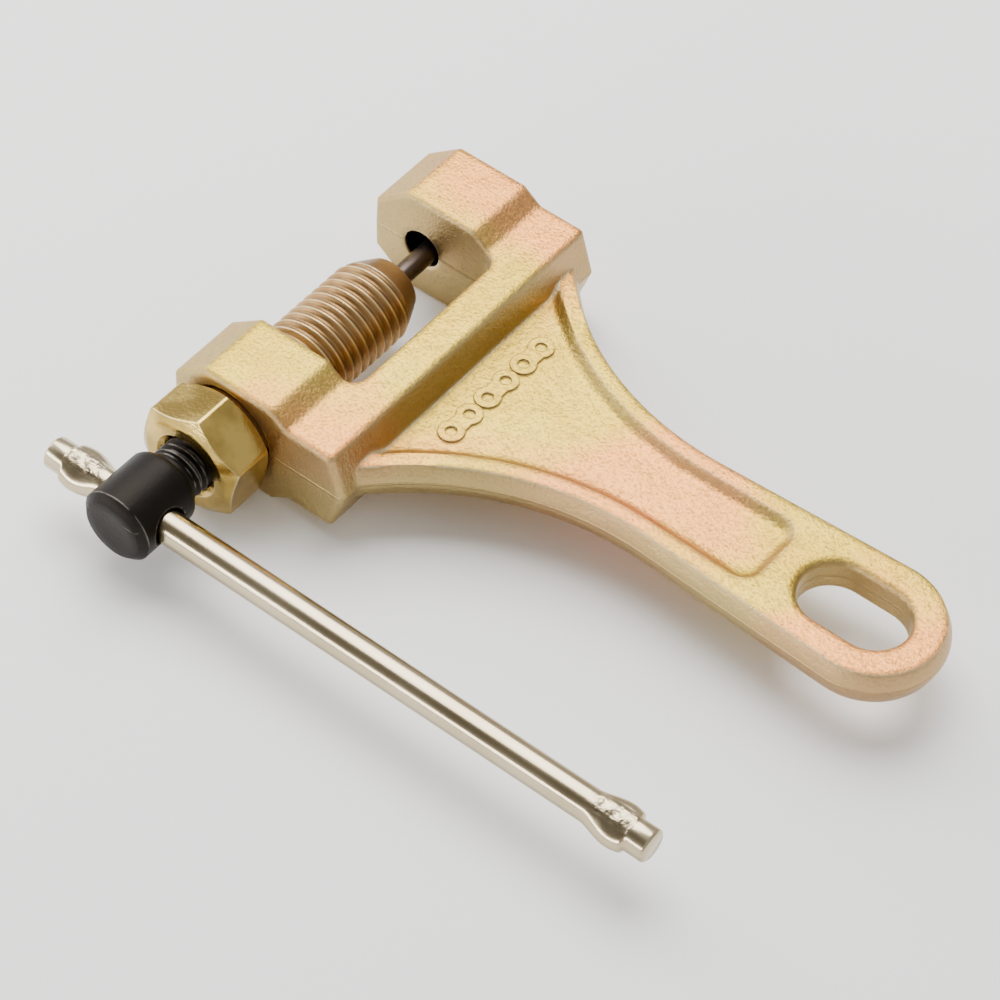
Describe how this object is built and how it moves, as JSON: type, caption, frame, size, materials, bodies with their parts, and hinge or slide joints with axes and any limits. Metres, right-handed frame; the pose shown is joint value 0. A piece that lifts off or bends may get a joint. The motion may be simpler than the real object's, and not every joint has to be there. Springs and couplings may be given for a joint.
{
  "type": "chain breaker",
  "caption": "Forged yoke and handle with a hollow clamp bolt, press screw, punch pin, return spring and sliding bar, for pushing rivets out of roller chain.",
  "frame": {"origin": "on the screw axis, half way between the two bosses and at half the forging's thickness", "axes": "+X along the handle towards its hanging slot, +Y along the screw axis towards the anvil, +Z out of the handle's upper face"},
  "size_m": [0.1357, 0.0951, 0.022],
  "materials": {
    "yellow_zinc": "grainy yellow zinc plate on forged steel",
    "yellow_zinc_turned": "satin yellow zinc plate on turned steel",
    "black_oxide": "matt black oxide",
    "bright_nickel": "bright nickel plate on drawn rod",
    "tool_steel": "hardened tool steel, temper brown",
    "spring_steel": "drawn spring wire"
  },
  "bodies": {
    "frame": {"frame": "yellow_zinc"},
    "spring_carrier": {"return_spring": "spring_steel"},
    "clamp_bolt": {"clamp_bolt": "yellow_zinc_turned"},
    "punch_pin": {"punch_pin": "tool_steel"},
    "press_screw": {"press_screw": "black_oxide"},
    "tommy_bar": {"tommy_bar": "bright_nickel"}
  },
  "joints": [
    {"name": "clamp_travel", "type": "slide", "parent": "frame", "child": "spring_carrier", "axis": [0, 1, 0], "range_m": [-0.0281, 0.0004]},
    {"name": "clamp_turn", "type": "hinge", "parent": "spring_carrier", "child": "clamp_bolt", "pos_m": [0, 0, 0], "axis": [0, 1, 0], "range_deg": [-5040, 70]},
    {"name": "pin_travel", "type": "slide", "parent": "clamp_bolt", "child": "punch_pin", "axis": [0, 1, 0], "range_m": [-0.0121, 0.0041], "deforming": ["return_spring"]},
    {"name": "press_turn", "type": "hinge", "parent": "punch_pin", "child": "press_screw", "pos_m": [0, 0, 0], "axis": [0, 1, 0], "range_deg": [-2880, 970]},
    {"name": "bar_slide", "type": "slide", "parent": "press_screw", "child": "tommy_bar", "axis": [1, 0, 0], "range_m": [-0.0835, 0]}
  ],
  "couplings": [
    {"joint": "clamp_travel", "follows": "clamp_turn", "m_per_rad": 0.00031831},
    {"joint": "pin_travel", "follows": "press_turn", "m_per_rad": 0.00023873}
  ]
}
